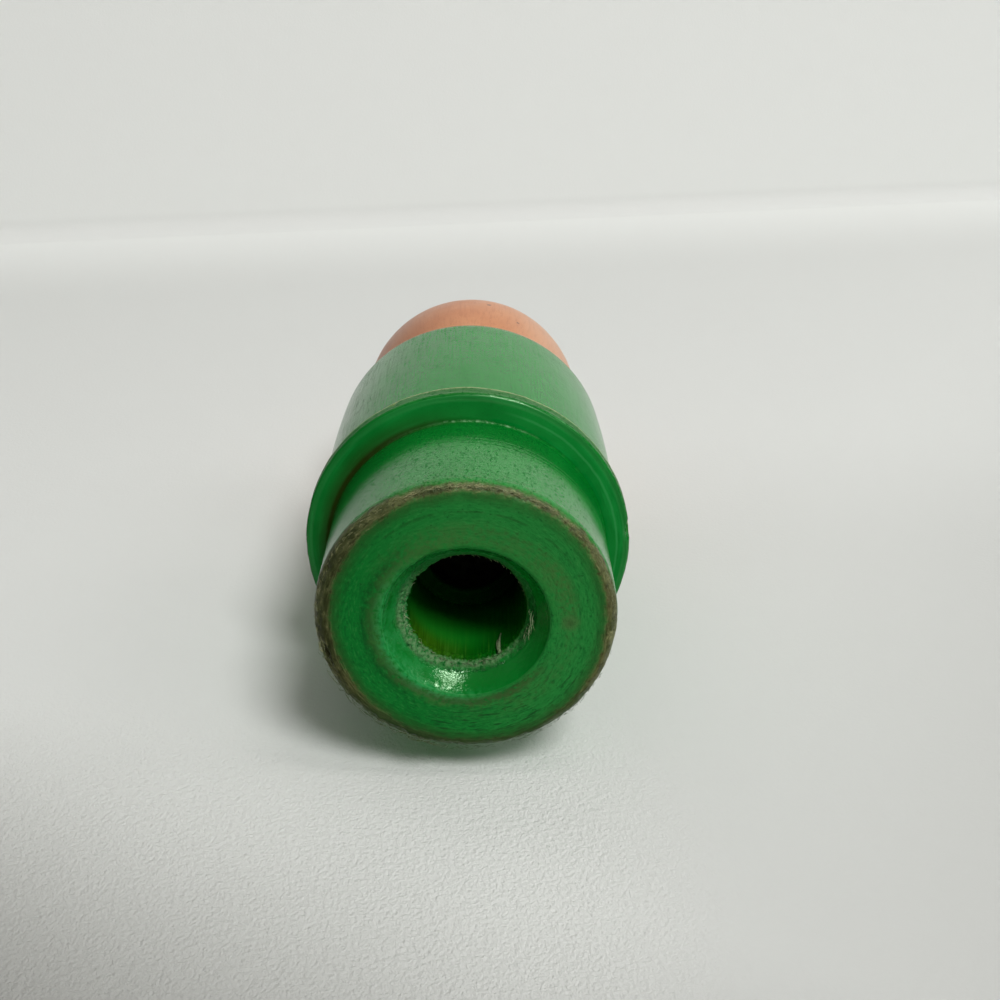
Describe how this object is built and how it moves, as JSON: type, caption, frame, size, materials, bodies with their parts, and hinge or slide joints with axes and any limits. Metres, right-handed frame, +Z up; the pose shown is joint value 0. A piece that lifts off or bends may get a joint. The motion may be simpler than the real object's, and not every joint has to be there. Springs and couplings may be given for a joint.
{
  "type": "peg doll",
  "caption": "Turned wooden peg doll: flanged body with a countersunk blind peg bore in its base and a ball head that turns on a hidden pin.",
  "frame": {"origin": "centre of the flat base, on the surface that the doll stands on", "axes": "+Z up along the doll's turning axis, from the base to the head; the painted face looks along -Y at rest"},
  "size_m": [0.0261, 0.026, 0.0554],
  "materials": {
    "green_paint": "satin green paint on turned hardwood, worn to bare wood at the edges",
    "flesh_paint": "satin flesh-coloured paint on a turned hardwood ball",
    "pin_steel": "dull drawn steel wire"
  },
  "bodies": {
    "doll_body": {"body": "green_paint"},
    "doll_head": {"head": "flesh_paint", "neck_pin": "pin_steel"}
  },
  "joints": [
    {"name": "head_turn", "type": "hinge", "parent": "doll_body", "child": "doll_head", "pos_m": [0, 0, 0.0349], "axis": [0, 0, 1], "continuous": true}
  ]
}
